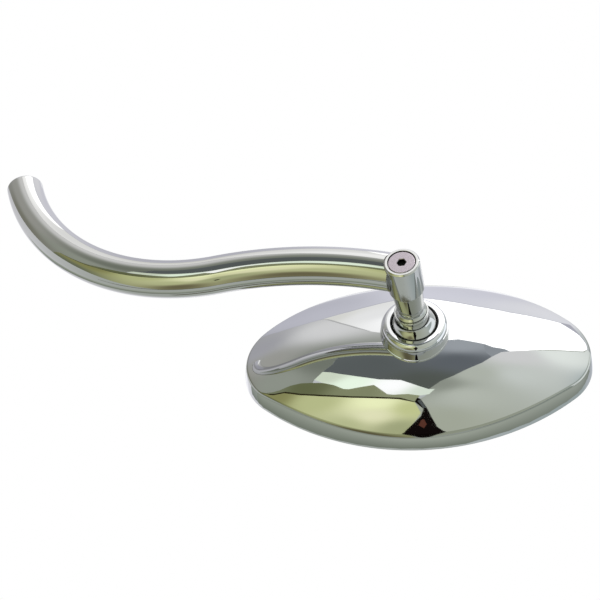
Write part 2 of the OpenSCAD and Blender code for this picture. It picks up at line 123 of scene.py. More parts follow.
class Shade:
    """A principled material with short calls for its nodes."""

    def __init__(self, name):
        self.mat = bpy.data.materials.new(name)
        self.mat.use_nodes = True
        self.tree = self.mat.node_tree
        self.tree.nodes.clear()
        self.out = self.node("ShaderNodeOutputMaterial")
        self.bsdf = self.node("ShaderNodeBsdfPrincipled")
        self.link(self.bsdf, "BSDF", self.out, "Surface")
        self.coord = self.node("ShaderNodeTexCoord")

    def node(self, kind):
        return self.tree.nodes.new(kind)

    def link(self, a, out_name, b, in_name):
        self.tree.links.new(a.outputs[out_name], b.inputs[in_name])

    def set(self, **values):
        for key, value in values.items():
            self.bsdf.inputs[key.replace("_", " ")].default_value = value
        return self

    def stretch(self, scale):
        m = self.node("ShaderNodeMapping")
        m.inputs["Scale"].default_value = scale
        self.link(self.coord, "Object", m, "Vector")
        return m

    def noise(self, scale, detail=3.0, rough=0.5, stretch=(1, 1, 1)):
        n = self.node("ShaderNodeTexNoise")
        n.inputs["Scale"].default_value = scale
        n.inputs["Detail"].default_value = detail
        n.inputs["Roughness"].default_value = rough
        self.link(self.stretch(stretch), "Vector", n, "Vector")
        return n, "Fac"

    def spread(self, source, low, high):
        """Spread a noise's middle part over the range from low to high."""
        r = self.node("ShaderNodeMapRange")
        for key, value in (("From Min", 0.3), ("From Max", 0.7), ("To Min", low), ("To Max", high)):
            r.inputs[key].default_value = value
        self.tree.links.new(source[0].outputs[source[1]], r.inputs["Value"])
        return r, "Result"

    def mix(self, source, a, b):
        m = self.node("ShaderNodeMix")
        m.data_type = "RGBA"
        self.tree.links.new(source[0].outputs[source[1]], m.inputs[0])
        m.inputs[6].default_value = a
        m.inputs[7].default_value = b
        return m, 2

    def into(self, source, name):
        self.tree.links.new(source[0].outputs[source[1]], self.bsdf.inputs[name])
        return self

    def bump(self, source, depth_mm):
        b = self.node("ShaderNodeBump")
        b.inputs["Strength"].default_value = 1.0
        b.inputs["Distance"].default_value = depth_mm * MM
        self.tree.links.new(source[0].outputs[source[1]], b.inputs["Height"])
        self.link(b, "Normal", self.bsdf, "Normal")
        return self


def chrome(name, light, dark, low=0.012, high=0.045):
    s = Shade(name).set(Metallic=1.0, Specular_Tint=(0.8, 0.8, 0.8, 1))
    s.into(s.mix(s.spread(s.noise(26.0, 2.0), 0, 1), dark, light), "Base Color")
    return s.into(s.spread(s.noise(420.0, 5.0, 0.6), low, high), "Roughness").mat


def turned_metal(name, light, dark, low, high):
    """Fine machined metal, its grain drawn out along Y, which is the post's axis."""
    s = Shade(name).set(Metallic=1.0)
    streak = s.noise(2600.0, 4.0, 0.6, (1, 0.06, 1))
    s.into(s.mix(s.spread(streak, 0, 1), dark, light), "Base Color")
    s.into(s.spread(s.noise(900.0, 3.0), low, high), "Roughness")
    return s.bump(streak, 0.004).mat


def matt(name, light, dark, low, high, grain, depth, **values):
    s = Shade(name).set(**values)
    s.into(s.mix(s.spread(s.noise(grain * 0.3), 0, 1), dark, light), "Base Color")
    s.into(s.spread(s.noise(grain * 0.6), low, high), "Roughness")
    return s.bump(s.noise(grain, 4.0, 0.6), depth).mat


STEM_CHROME = chrome("stem_chrome", (0.6, 0.6, 0.59, 1), (0.57, 0.57, 0.56, 1))
POST_CHROME = chrome("post_chrome", (0.56, 0.565, 0.555, 1), (0.52, 0.525, 0.515, 1), 0.02, 0.05)
SHELL_CHROME = chrome("shell_chrome", (0.66, 0.665, 0.67, 1), (0.63, 0.635, 0.64, 1))
# Painted shade: darker than the rest of the shell, to match the photo's dark crease and rim
CREASE_SHADE_CHROME = chrome("crease_painted_shade_chrome", (0.46, 0.47, 0.44, 1), (0.42, 0.43, 0.4, 1), 0.03, 0.08)
SCREW_SATIN = turned_metal("screw_satin", (0.53, 0.475, 0.52, 1), (0.44, 0.385, 0.425, 1), 0.3, 0.42)
# Near black, for the painted shade inside the screw's socket
SOCKET_SHADE = turned_metal("socket_painted_shade", (0.05, 0.05, 0.05, 1), (0.02, 0.02, 0.02, 1), 0.4, 0.6)
BARE_STEEL = turned_metal("bare_steel", (0.68, 0.67, 0.64, 1), (0.52, 0.52, 0.5, 1), 0.25, 0.4)
PLAIN_PLASTIC = matt(
    "plain_plastic", (0.74, 0.71, 0.63, 1), (0.68, 0.65, 0.57, 1), 0.38, 0.52, 900, 0.01
)
BLACK_PLASTIC = matt(
    "black_plastic", (0.03, 0.03, 0.031, 1), (0.018, 0.018, 0.019, 1), 0.45, 0.62, 1500, 0.02
)
BLACK_RUBBER = matt(
    "black_rubber", (0.026, 0.026, 0.027, 1), (0.012, 0.012, 0.013, 1), 0.48, 0.66, 2200, 0.015
)
FOAM = matt("foam", (0.07, 0.07, 0.075, 1), (0.035, 0.035, 0.04, 1), 0.85, 0.97, 2500, 0.12)


def silvered_glass():
    s = Shade("mirror_glass").set(Metallic=1.0)
    s.into(
        s.mix(s.spread(s.noise(14.0), 0, 1), (0.86, 0.9, 0.9, 1), (0.89, 0.92, 0.92, 1)),
        "Base Color",
    )
    s.into(s.spread(s.noise(70.0, 6.0, 0.65), 0.006, 0.03), "Roughness")
    return s.mat


MIRROR_GLASS = silvered_glass()

# Mesh helpers


def turned(centre, arm, angle):
    c, s = math.cos(angle), math.sin(angle)
    return centre + Vector((c * arm.x - s * arm.y, s * arm.x + c * arm.y))


def rounded(points, closed=True):
    """Corner points (a, b, fillet) in a plane, as a smooth list of (a, b).

    Straight runs get a point close to each of their ends, so that shading stays flat on them.
    """
    n = len(points)
    rows = []
    for i, p in enumerate(points):
        here = Vector(p[:2])
        if not p[2] or (not closed and i in (0, n - 1)):
            rows.append([here])
            continue
        before, after = Vector(points[i - 1][:2]), Vector(points[(i + 1) % n][:2])
        d0, d1 = (before - here), (after - here)
        half = d0.angle(d1) / 2
        reach = min(p[2] / math.tan(half), FILLET_SHARE * d0.length, FILLET_SHARE * d1.length)
        radius = reach * math.tan(half)
        d0.normalize()
        d1.normalize()
        centre = here + (d0 + d1).normalized() * (radius / math.sin(half))
        end = here + d1 * reach
        a, b = here + d0 * reach - centre, end - centre
        turn = a.angle_signed(b)
        for sense in (-1, 1):
            steps = range(ARC_STEPS + 1)
            arc = [turned(centre, a, sense * turn * k / ARC_STEPS) for k in steps]
            if (arc[-1] - end).length <= 1e-4:
                break
        rows.append(arc)
    out = []
    for i, row in enumerate(rows):
        out += row
        if not closed and i == n - 1:
            break
        a, b = row[-1], rows[(i + 1) % n][0]
        gap = (b - a).length
        if gap > 4 * SUPPORT:
            out += [a.lerp(b, SUPPORT / gap), a.lerp(b, 1 - SUPPORT / gap)]
    return [(p.x, p.y) for p in out]


def smooth(mesh, sharp=SHARP):
    mesh.polygons.foreach_set("use_smooth", [True] * len(mesh.polygons))
    mesh.set_sharp_from_angle(angle=math.radians(sharp))


def finish_mesh(name, bm, matrix, body, mat, node, slot, sharp=SHARP):
    """Turn a bmesh in millimetres into a piece at its place in the frame."""
    bmesh.ops.remove_doubles(bm, verts=bm.verts, dist=1e-5)
    bmesh.ops.recalc_face_normals(bm, faces=bm.faces)
    bm.transform(Matrix.Scale(MM, 4) @ matrix)
    mesh = bpy.data.meshes.new(name)
    bm.to_mesh(mesh)
    bm.free()
    smooth(mesh, sharp)
    mesh.materials.append(mat)
    obj = bpy.data.objects.new(name, mesh)
    bpy.context.scene.collection.objects.link(obj)
    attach(obj, body)
    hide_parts(node)
    return obj


def lathe_into(bm, profile, segments, height=None):
    """Revolve a closed profile of (r, z); height(x, y, z) may move a point's z."""
    rings = []
    for r, z in profile:
        if r < 1e-6:
            rings.append([bm.verts.new((0, 0, z))])
            continue
        ring = []
        for k in range(segments):
            a = 2 * math.pi * k / segments
            x, y = r * math.cos(a), r * math.sin(a)
            ring.append(bm.verts.new((x, y, height(x, y, z) if height else z)))
        rings.append(ring)
    for i, ring in enumerate(rings):
        other = rings[(i + 1) % len(rings)]
        if len(ring) == 1 and len(other) == 1:
            continue
        for k in range(segments):
            j = (k + 1) % segments
            a, b = ring[k % len(ring)], ring[j % len(ring)]
            c, d = other[j % len(other)], other[k % len(other)]
            corners = []
            for v in (a, b, c, d):
                if v not in corners:
                    corners.append(v)
            if len(corners) > 2:
                bm.faces.new(corners)


def lathe(name, profile, matrix, body, mat, segments, height=None, **kw):
    bm = bmesh.new()
    lathe_into(bm, profile, segments, height)
    return finish_mesh(name, bm, matrix, body, mat, **kw)


def arc_points(r, centre_z, z0, z1, count):
    """Points of a sphere's profile from height z0 to z1."""
    a0, a1 = math.asin((z0 - centre_z) / r), math.asin((z1 - centre_z) / r)
    return [
        (r * math.cos(a), centre_z + r * math.sin(a))
        for a in (a0 + (a1 - a0) * k / count for k in range(count + 1))
    ]


def cut(obj, tool_bm, matrix, op="DIFFERENCE"):
    """Boolean an object with a tool given as a bmesh in millimetres."""
    bmesh.ops.recalc_face_normals(tool_bm, faces=tool_bm.faces)
    tool_bm.transform(Matrix.Scale(MM, 4) @ matrix)
    mesh = bpy.data.meshes.new("tool")
    tool_bm.to_mesh(mesh)
    tool_bm.free()
    tool = bpy.data.objects.new("tool", mesh)
    bpy.context.scene.collection.objects.link(tool)
    mod = obj.modifiers.new("cut", "BOOLEAN")
    mod.operation = op
    mod.solver = "EXACT"
    mod.object = tool
    deps = bpy.context.evaluated_depsgraph_get()
    made = bpy.data.meshes.new_from_object(obj.evaluated_get(deps))
    obj.modifiers.clear()
    old = obj.data
    obj.data = made
    bpy.data.meshes.remove(old)
    bpy.data.objects.remove(tool)
    bpy.data.meshes.remove(mesh)
    smooth(made)


def oval_points():
    """Points of the oval with their outward normals, counter-clockwise."""
    out = []
    side_step, tip_step = (math.pi / 2 - JOIN_A) / SIDE_STEPS, JOIN_A / TIP_STEPS
    for quarter in range(4):
        # tip arc from angle 0 to JOIN_A, then side arc from JOIN_A to 90 degrees, or back
        if quarter % 2:
            steps = [("side", math.pi / 2 - side_step * k) for k in range(SIDE_STEPS)]
            steps += [("tip", JOIN_A - tip_step * k) for k in range(TIP_STEPS)]
        else:
            steps = [("tip", tip_step * k) for k in range(TIP_STEPS)]
            steps += [("side", JOIN_A + side_step * k) for k in range(SIDE_STEPS)]
        sx = 1 if quarter in (0, 3) else -1
        sy = 1 if quarter < 2 else -1
        for kind, a in steps:
            n = (math.cos(a), math.sin(a))
            if kind == "tip":
                p = (END_X + TIP_R * n[0], TIP_R * n[1])
            else:
                p = (SIDE_R * n[0], -SIDE_Y + SIDE_R * n[1])
            out.append(((sx * p[0], sy * p[1]), (sx * n[0], sy * n[1])))
    return out


OVAL = oval_points()


def oval_row(bm, inset, z):
    """New points round the oval, moved in by inset, at height z."""
    return [bm.verts.new((p[0] - inset * n[0], p[1] - inset * n[1], z)) for p, n in OVAL]


def bridge(bm, rings, closed):
    """Faces from each ring of points to the next."""
    count = len(rings[0])
    for i in range(len(rings) if closed else len(rings) - 1):
        a, b = rings[i], rings[(i + 1) % len(rings)]
        for k in range(count):
            j = (k + 1) % count
            bm.faces.new((a[k], a[j], b[j], b[k]))


# Stem and knuckle


def stem_line():
    """Points, tangents and side normals of the stem's centreline in the XZ plane."""
    rows = []
    for k in range(BEND_STEPS + 1):
        a = math.radians(BEND_A * k / BEND_STEPS)
        rows.append((BEND_R * (math.cos(a) - 1), BEND_R * math.sin(a), a + math.pi / 2))
    x0, z0, _ = rows[-1]
    start = math.radians(BEND_A + 180)
    # the square cut stands STEM_CUT short of the knuckle's axis
    stop = math.radians(REVERSE_A) - STEM_CUT / REVERSE_R
    for k in range(1, REVERSE_STEPS + 1):
        a = start - stop * k / REVERSE_STEPS
        rows.append(
            (
                x0 + REVERSE_R * (math.cos(a) - math.cos(start)),
                z0 + REVERSE_R * (math.sin(a) - math.sin(start)),
                a - math.pi / 2,
            )
        )
    return rows


def make_stem():
    bm = bmesh.new()
    r, c, hole_r = STEM_D / 2, STEM_CHAMFER, HOLE_D / 2
    rings = []

    def ring(x, z, heading, radius, push=0.0):
        t = Vector((math.cos(heading), 0, math.sin(heading)))
        side = Vector((-math.sin(heading), 0, math.cos(heading)))
        up = Vector((0, 1, 0))
        at = Vector((x, 0, z)) + t * push
        rings.append(
            [
                bm.verts.new(
                    at
                    + side * radius * math.cos(2 * math.pi * k / AROUND)
                    + up * radius * math.sin(2 * math.pi * k / AROUND)
                )
                for k in range(AROUND)
            ]
        )

    # tapped hole: its floor, its thread and a countersunk mouth
    def level(z, radius):
        ring(0, 0, math.pi / 2, radius, z)

    level(HOLE_DEPTH, 0.4)
    level(HOLE_DEPTH, hole_r - 0.1)
    top = HOLE_DEPTH - THREAD_STOP
    level(top + 0.6, hole_r)
    steps = int((top - 1.0) / THREAD_PITCH * THREAD_ROWS)
    for i in range(steps + 1):
        z = top - i * THREAD_PITCH / THREAD_ROWS
        # the thread fades in over six rows and out over three
        fade = min(1.0, i / 6, (steps - i) / 3)
        at = []
        for k in range(AROUND):
            turn = (z / THREAD_PITCH + k / AROUND) % 1.0
            depth = THREAD_DEPTH * max(0.0, 1 - abs(turn - 0.5) / THREAD_FLANK) * fade
            a = 2 * math.pi * k / AROUND
            radius = hole_r + depth
            at.append(bm.verts.new((-radius * math.cos(a), radius * math.sin(a), z)))
        rings.append(at)
    for z, radius in (
        (0.75, hole_r + 0.05), (0.06, hole_r + 0.7), (0.0, hole_r + 0.8), (0.0, r - c - 0.1),
    ):
        level(z, radius)
    # rounded free end
    for k in range(9):
        a = math.pi / 2 * k / 8
        level(c * (1 - math.cos(a)), r - c + c * math.sin(a))
    level(c + 0.1, r)
    line = stem_line()
    for x, z, h in line[2:-1]:
        ring(x, z, h, r)
    # the end at the knuckle, with a small rounded edge
    x, z, h = line[-1]
    edge = 0.15
    ring(x, z, h, r, -0.35)
    ring(x, z, h, r, -0.18)
    for k in range(1, 5):
        a = math.pi / 2 * k / 4
        ring(x, z, h, r - edge + edge * math.cos(a), -edge + edge * math.sin(a))
    ring(x, z, h, 0.5)
    bridge(bm, rings, False)
    bm.faces.new(rings[0])
    bm.faces.new(rings[-1])
    obj = finish_mesh(
        "stem_bar", bm, Matrix.Identity(4), "arm", STEM_CHROME, "stem", "stem_chrome"
    )
    # the end follows the barrel's curve
    tool = bmesh.new()
    barrel_r, low, high = KNUCKLE_D / 2, KNUCKLE_BASE - 2, KNUCKLE_TOP + 2
    lathe_into(tool, [(0, low), (barrel_r, low), (barrel_r, high), (0, high)], 256)
    cut(obj, tool, POST_M)


def make_knuckle():
    r, c = KNUCKLE_D / 2, KNUCKLE_CHAMFER
    profile = rounded(
        [
            (BUSHING_R, KNUCKLE_BASE, 0.15),
            (r, KNUCKLE_BASE, 0.35),
            (r, KNUCKLE_TOP - c, 0.25),
            (r - c, KNUCKLE_TOP, 0.2),
            (BORE_HEAD_R, KNUCKLE_TOP, 0.12),
            (BORE_HEAD_R, WEB_TOP, 0),
            (SHAFT_R, WEB_TOP, 0),
            (SHAFT_R, WEB_BASE, 0),
            (BUSHING_R, WEB_BASE, 0),
        ]
    )
    lathe(
        "knuckle_barrel", profile, POST_M, "arm", STEM_CHROME, 160, node="knuckle",
        slot="stem_chrome",
    )


# Post, ball and screw


def make_post():
    bevel = POST_FOOT_R - POST_LOW_R
    profile = rounded(
        [
            (SHAFT_R, POST_BASE, 0),
            (POST_FOOT_R, POST_BASE, 0.2),
            (POST_FOOT_R, POST_BASE + POST_FOOT_H, 0.2),
            (POST_LOW_R, POST_BASE + POST_FOOT_H + bevel, 0.5),
            (POST_TOP_R, POST_SHOULDER, 0.3),
            (SPIGOT_R, POST_SHOULDER, 0),
            (SPIGOT_R, SPIGOT_TOP - SPIGOT_CHAMFER, 0),
            (SPIGOT_R - SPIGOT_CHAMFER, SPIGOT_TOP, 0),
            (SHAFT_R, SPIGOT_TOP, 0),
        ]
    )
    lathe("post_taper", profile, POST_M, "post", POST_CHROME, 144, node="post", slot="post_chrome")

    # the ball runs into its neck through a small blend
    neck_foot = math.sqrt(BALL_R**2 - NECK_R**2)
    foot_hole_r, screw_hole_r = POST_FOOT_R + 2 * FIT_GAP, SCREW_D / 2 + FIT_GAP
    neck = rounded(
        [
            (NECK_R, neck_foot + 0.5, 0),
            (NECK_R, NECK_H, 0.35),
            (foot_hole_r, NECK_H, 0.15),
            (foot_hole_r, POST_BASE, 0),
            (screw_hole_r, POST_BASE, 0),
        ],
        closed=False,
    )
    ball = arc_points(BALL_R, 0.0, -BALL_R, neck_foot - 0.45, 48)
    hole = [(screw_hole_r, -2.0), (0.0, -2.0)]
    lathe(
        "ball_and_neck", ball + [(NECK_R + 0.09, neck_foot + 0.1)] + neck + hole, POST_M, "post",
        POST_CHROME, 144, node="ball_stud", slot="post_chrome",
    )

    head_r = SCREW_HEAD_D / 2
    profile = rounded(
        [
            (0, SCREW_END, 0),
            (SCREW_D / 2, SCREW_END, 0.6),
            (SCREW_D / 2, SCREW_SEAT, 0),
            (head_r, SCREW_SEAT, 0.2),
            (head_r, SCREW_FACE, 0.35),
            (0, SCREW_FACE, 0),
        ]
    )
    screw = lathe(
        "clamp_screw_head", profile, POST_M, "post", SCREW_SATIN, 96, node="clamp_screw",
        slot="screw_satin",
    )
    tool = bmesh.new()
    r = SOCKET_AF / 2 / math.cos(math.pi / 6)
    z0, z1, lip = SCREW_FACE - SOCKET_DEPTH, SCREW_FACE + 0.5, 0.22
    lathe_into(
        tool,
        [(0, z0 - 0.2), (r, z0), (r, SCREW_FACE - lip), (r + lip + 0.5, z1), (0, z1)],
        6,
    )
    cut(screw, tool, POST_M)
    # the inside of the socket is black, as in the photo: painted shade in the recess
    screw.data.materials.append(SOCKET_SHADE)
    top = POST_M @ Vector((0, 0, SCREW_FACE - 0.05)) * MM
    axis = POST_M.to_3x3() @ Vector((0, 0, 1))
    for face in screw.data.polygons:
        out = face.center - top
        if out.dot(axis) < 0 and (out - axis * out.dot(axis)).length < (r + 0.4) * MM:
            if out.dot(axis) > -(SOCKET_DEPTH + 0.4) * MM:
                face.material_index = 1


# Head


def make_collar():
    drop, shoulder_r = MOUTH_Z - WALL_TOP_Z, WALL_R - STEP_W
    seal_in = math.sqrt(MOUTH_R**2 - (SEAL_BASE_Z - BALL_Z) ** 2)
    shoulder = [(shoulder_r + 0.1, WALL_TOP_Z), (shoulder_r + 0.02, WALL_TOP_Z + 0.03)] + [
        (
            LAND_R + (shoulder_r - LAND_R) * math.cos(math.pi / 2 * k / 16),
            WALL_TOP_Z + drop * math.sin(math.pi / 2 * k / 16),
        )
        for k in range(1, 17)
    ]
    inner = rounded(
        [
            (LAND_R, MOUTH_Z, 0),
            (SEAL_R, MOUTH_Z, 0.12),
            (SEAL_R, SEAL_BASE_Z, 0),
            (seal_in, SEAL_BASE_Z, 0),
        ],
        closed=False,
    )
    lip = arc_points(MOUTH_R, BALL_Z, SEAL_BASE_Z, LIP_Z, 8)[1:]
    bore = arc_points(BORE_R, BALL_Z, LIP_Z, BALL_Z, 12)
    low = rounded(
        [
            (BORE_R, SLEEVE_END_Z, 0.2),
            (SLEEVE_R, SLEEVE_END_Z, 0.3),
            (SLEEVE_R, 26.0, 0),
        ],
        closed=False,
    )
    flange = [(SLEEVE_R, ON_DOME)] + [
        (FLANGE_R - inset, ON_DOME + rise)
        for inset, rise in (
            (0.35, 0), (0.1, 0.08), (0, 0.3), (0.02, 0.75), (0.1, 0.95), (0.28, 1), (0.3, 1.12),
        )
    ]
    wall = [
        (WALL_R - inset, WALL_TOP_Z - fall)
        for inset, fall in ((-0.02, 0.2), (0, 0.1), (0.03, 0.03), (0.1, 0))
    ]
    profile = low + flange + wall + shoulder + inner[1:] + lip + bore

    def on_dome(x, y, z):
        return dome_height(x, y) + z - ON_DOME if z >= ON_DOME else z

    lathe(
        "collar_ring", profile, HEAD_M, "head", SHELL_CHROME, 192, on_dome, node="collar",
        slot="shell_chrome",
    )

    seal_top = MOUTH_Z - SEAL_DEPTH
    profile = rounded(
        [
            (seal_in, SEAL_BASE_Z, 0),
            (SEAL_R, SEAL_BASE_Z, 0),
            (SEAL_R, seal_top, 0.1),
            (math.sqrt(MOUTH_R**2 - (seal_top - BALL_Z) ** 2), seal_top, 0.1),
        ]
    )
    lathe(
        "mouth_ring", profile, HEAD_M, "head", BLACK_RUBBER, 144, node="mouth_seal",
        slot="black_rubber",
    )


def rim_and_dome(bm, thick):
    """Rings of the outer skin from the rim to the hole, or of the inner skin when thick > 0."""
    hole = SLEEVE_R + FIT_GAP
    # the crease, where the leaning wall meets the dome, found in eight rounds
    edges = []
    for p, n in OVAL:
        z = RIM_H
        for _ in range(8):
            inset = (RIM_DRAFT * z / RIM_H if not thick else 0) + thick
            e = (p[0] - inset * n[0], p[1] - inset * n[1])
            z = dome_height(e[0], e[1], thick)
        edges.append((e, z))
    if thick:
        low_rows = ((thick, 0.0), (thick, 4.0))
    else:
        low_rows = (
            (SHELL_T - 0.35, 0.0), (0.62, 0.0), (0.5, 0.005), (0.34, 0.03), (0.2, 0.1),
            (0.09, 0.22), (0.02, 0.4), (0.03, 0.55),
        )
    rings = [oval_row(bm, inset, z) for inset, z in low_rows]
    # wall, fillet and dome for each place on the oval
    wall_rows = [[] for _ in range(WALL_STEPS + FILLET_STEPS + DOME_STEPS)]
    for (p, n), (e, z) in zip(OVAL, edges):
        edge = Vector((e[0], e[1], z))
        low = rings[-1][len(wall_rows[0])].co.copy()
        down = (low - edge).normalized()
        a = math.atan2(e[1], e[0] / STRETCH)
        goal = Vector((hole * math.cos(a), hole * math.sin(a), 0))

        # the path to the hole, which ends on its circle
        def at(t, edge=edge, goal=goal):
            x = edge.x + (goal.x - edge.x) * t
            y = edge.y + (goal.y - edge.y) * t
            return Vector((x, y, dome_height(x, y, thick)))

        span = (Vector((goal.x, goal.y)) - Vector((edge.x, edge.y))).length
        t0 = CREASE_REACH / span
        first = at(t0)
        w0 = edge + down * CREASE_REACH
        column = []
        for k in range(1, WALL_STEPS + 1):
            t = k / WALL_STEPS
            belly = 0 if thick else WALL_BELLY * 4 * t * (1 - t)
            column.append(low.lerp(w0, t) + Vector((n[0], n[1], 0)) * belly)
        for k in range(1, FILLET_STEPS + 1):
            t = k / FILLET_STEPS
            column.append((1 - t) ** 2 * w0 + 2 * t * (1 - t) * edge + t * t * first)
        for k in range(1, DOME_STEPS + 1):
            u = k / DOME_STEPS
            u = u * u * 0.35 + u * 0.65
            column.append(at(t0 + (1 - t0) * u))
        for row, v in zip(wall_rows, column):
            row.append(bm.verts.new(v))
    rings += wall_rows
    bridge(bm, rings, False)
    return rings


def make_shell():
    bm = bmesh.new()
    outer = rim_and_dome(bm, 0.0)
    inner = rim_and_dome(bm, SHELL_T)
    wall_top = RIM_ROWS + WALL_STEPS
    # the rim's lowest rows and the crease take the darker chrome, which paints shade there
    for rows in (outer[:RIM_ROWS], outer[wall_top - 1 : wall_top + FILLET_STEPS]):
        edge = {v for row in rows for v in row}
        for face in bm.faces:
            if all(v in edge for v in face.verts):
                face.material_index = 1
    # the rim's flat edge and the wall of the hole join the two skins
    for a, b in ((outer[0], inner[0]), (outer[-1], inner[-1])):
        count = len(a)
        for k in range(count):
            j = (k + 1) % count
            bm.faces.new((a[k], b[k], b[j], a[j]))
    obj = finish_mesh(
        "oval_shell", bm, HEAD_M, "head", SHELL_CHROME, "shell", "shell_chrome", sharp=40.0
    )
    # second slot: the darker chrome of the painted shade on the crease and rim
    obj.data.materials.append(CREASE_SHADE_CHROME)
    # the bosses run a little way into the skin of the dome
    r0, r1, bite = PLATE_SCREW_D / 2 + FIT_GAP, PLATE_SCREW_D / 2 + 2, 0.6
    profile = rounded([(r0, PLATE_BACK, 0), (r1, PLATE_BACK, 0.3), (r1, ON_DOME, 0), (r0, ON_DOME, 0)])
    for x, y in SCREW_SPOTS:

        def on_skin(a, b, z, x=x, y=y):
            high = z > ON_DOME / 2
            return dome_height(x + a, y + b, SHELL_T) + z - ON_DOME + bite if high else z

        boss = bmesh.new()
        lathe_into(boss, profile, 48, on_skin)
        cut(obj, boss, HEAD_M @ Matrix.Translation((x, y, 0)), "UNION")


def make_gasket():
    outside, inside = SHELL_T + FIT_GAP, SHELL_T + GASKET_T
    front, lip = GLASS_RECESS - LIP_HEIGHT, inside + GASKET_LIP
    profile = rounded(
        [
            (outside, front + 0.35, 0.3),
            (outside + 0.6, front, 0.35),
            (lip - 0.5, front + 0.1, 0.4),
            (lip, GLASS_RECESS, 0.1),
            (inside, GLASS_RECESS, 0),
            (inside, PLATE_FACE, 0),
            (outside, PLATE_FACE, 0),
        ]
    )
    bm = bmesh.new()
    bridge(bm, [oval_row(bm, inset, z) for inset, z in profile], True)
    finish_mesh("glass_gasket", bm, HEAD_M, "head", BLACK_RUBBER, "rim_gasket", "black_rubber")


make_stem()
make_knuckle()
make_post()
make_collar()
make_shell()
make_gasket()

NODE_LOOKS = (
    (PLAIN_PLASTIC, ["bushing", "ball_cup"]),
    (BLACK_PLASTIC, ["thrust_washer", "backing_plate"]),
    (BARE_STEEL, ["spring_washer", "pressure_cup", "disc_spring_1", "disc_spring_2"]),
    (BARE_STEEL, ["sleeve_plug", "ring_nut"] + [f"plate_screw_{n}" for n in range(1, 5)]),
    (FOAM, ["foam_pad"]),
    (MIRROR_GLASS, ["mirror_glass"]),
)
for look, node_names in NODE_LOOKS:
    for node_name in node_names:
        node_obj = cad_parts[node_name]
        if not node_obj.material_slots:
            node_obj.data.materials.append(look)
        for material_slot in node_obj.material_slots:
            material_slot.material = look

# Studio

TENT_AT = HEAD_M @ Vector((0, 0, 20))
TENT_R = 2500.0
# The shell's chrome sends back about two thirds of the light, so a card is this much
# brighter than the screen colour that it shows there, and the white card more so
CARD_POWER, WHITE_POWER = 1.54, 2.1
# Cards of a higher layer stand nearer, by this many millimetres a layer
LAYER_GAP = 12
# A card's tones fade into each other over a few degrees
FADE_SOFT, FADE_POWER = 9, 1.6
HEAD_TURN = HEAD_M.to_3x3()


def chart(u, v):
    """Direction for chart angles in degrees: u right, v away, the dome's axis in the middle."""
    r = math.radians(math.hypot(u, v))
    if r < 1e-6:
        return HEAD_TURN @ Vector((0, 0, 1))
    d = math.radians(1) / r
    return HEAD_TURN @ Vector((math.sin(r) * u * d, math.sin(r) * v * d, math.cos(r)))


def glow(name, power):
    """A light of the colour that the card's mesh holds."""
    mat = bpy.data.materials.new(name)
    mat.use_nodes = True
    tree = mat.node_tree
    tree.nodes.clear()
    out = tree.nodes.new("ShaderNodeOutputMaterial")
    light = tree.nodes.new("ShaderNodeEmission")
    tone = tree.nodes.new("ShaderNodeAttribute")
    tone.attribute_name = "tone"
    tree.links.new(tone.outputs["Color"], light.inputs["Color"])
    light.inputs["Strength"].default_value = power
    tree.links.new(light.outputs[0], out.inputs["Surface"])
    return mat


def card(name, polygon, tones, layer, power=CARD_POWER, fine=5.0):
    """A soft card of the studio's tent, cut to a polygon in chart angles.

    tones is one screen colour, a function of the chart angles, or places in chart angles with
    the colour that the card has there, which fade into each other.
    """
    bm = bmesh.new()
    face = bm.faces.new([bm.verts.new((u, v, 0)) for u, v in polygon])
    bmesh.ops.triangulate(bm, faces=[face])
    for _ in range(7):
        long_edges = [e for e in bm.edges if e.calc_length() > fine]
        if not long_edges:
            break
        bmesh.ops.subdivide_edges(bm, edges=long_edges, cuts=1)
        bmesh.ops.triangulate(bm, faces=[f for f in bm.faces if len(f.verts) > 3])
    colours = []
    for v in bm.verts:
        if callable(tones):
            colours.append(srgb(*tones(v.co.x, v.co.y)))
        elif not isinstance(tones, list):
            colours.append(srgb(*tones))
        else:
            total, mixed = 0.0, [0.0, 0.0, 0.0]
            for u0, v0, tone in tones:
                w = ((v.co.x - u0) ** 2 + (v.co.y - v0) ** 2 + FADE_SOFT) ** -FADE_POWER
                total += w
                for k in range(3):
                    mixed[k] += w * tone[k]
            colours.append(srgb(*(m / total for m in mixed)))
        v.co = (TENT_AT + chart(v.co.x, v.co.y) * (TENT_R - LAYER_GAP * layer)) * MM
    mesh = bpy.data.meshes.new(name)
    bm.to_mesh(mesh)
    bm.free()
    tone_data = mesh.color_attributes.new("tone", "FLOAT_COLOR", "POINT")
    tone_data.data.foreach_set("color", [x for c in colours for x in c])
    mesh.materials.append(glow(name, power))
    obj = bpy.data.objects.new(name, mesh)
    bpy.context.scene.collection.objects.link(obj)
    obj.visible_camera = False


def line_card(name, points, width, tone, layer):
    """A narrow card along a line of chart angles."""
    left, right = [], []
    for i, p in enumerate(points):
        a, b = points[max(i - 1, 0)], points[min(i + 1, len(points) - 1)]
        d = Vector((b[0] - a[0], b[1] - a[1])).normalized()
        taper = width / 2 * (0.35 if i in (0, len(points) - 1) else 1)
        left.append((p[0] - d.y * taper, p[1] + d.x * taper))
        right.append((p[0] + d.y * taper, p[1] - d.x * taper))
    card(name, left + right[::-1], tone, layer)


def polar(r, angle):
    """Chart angles of a point at r from the middle, at an angle from the right."""
    a = math.radians(angle)
    return r * math.cos(a), r * math.sin(a)
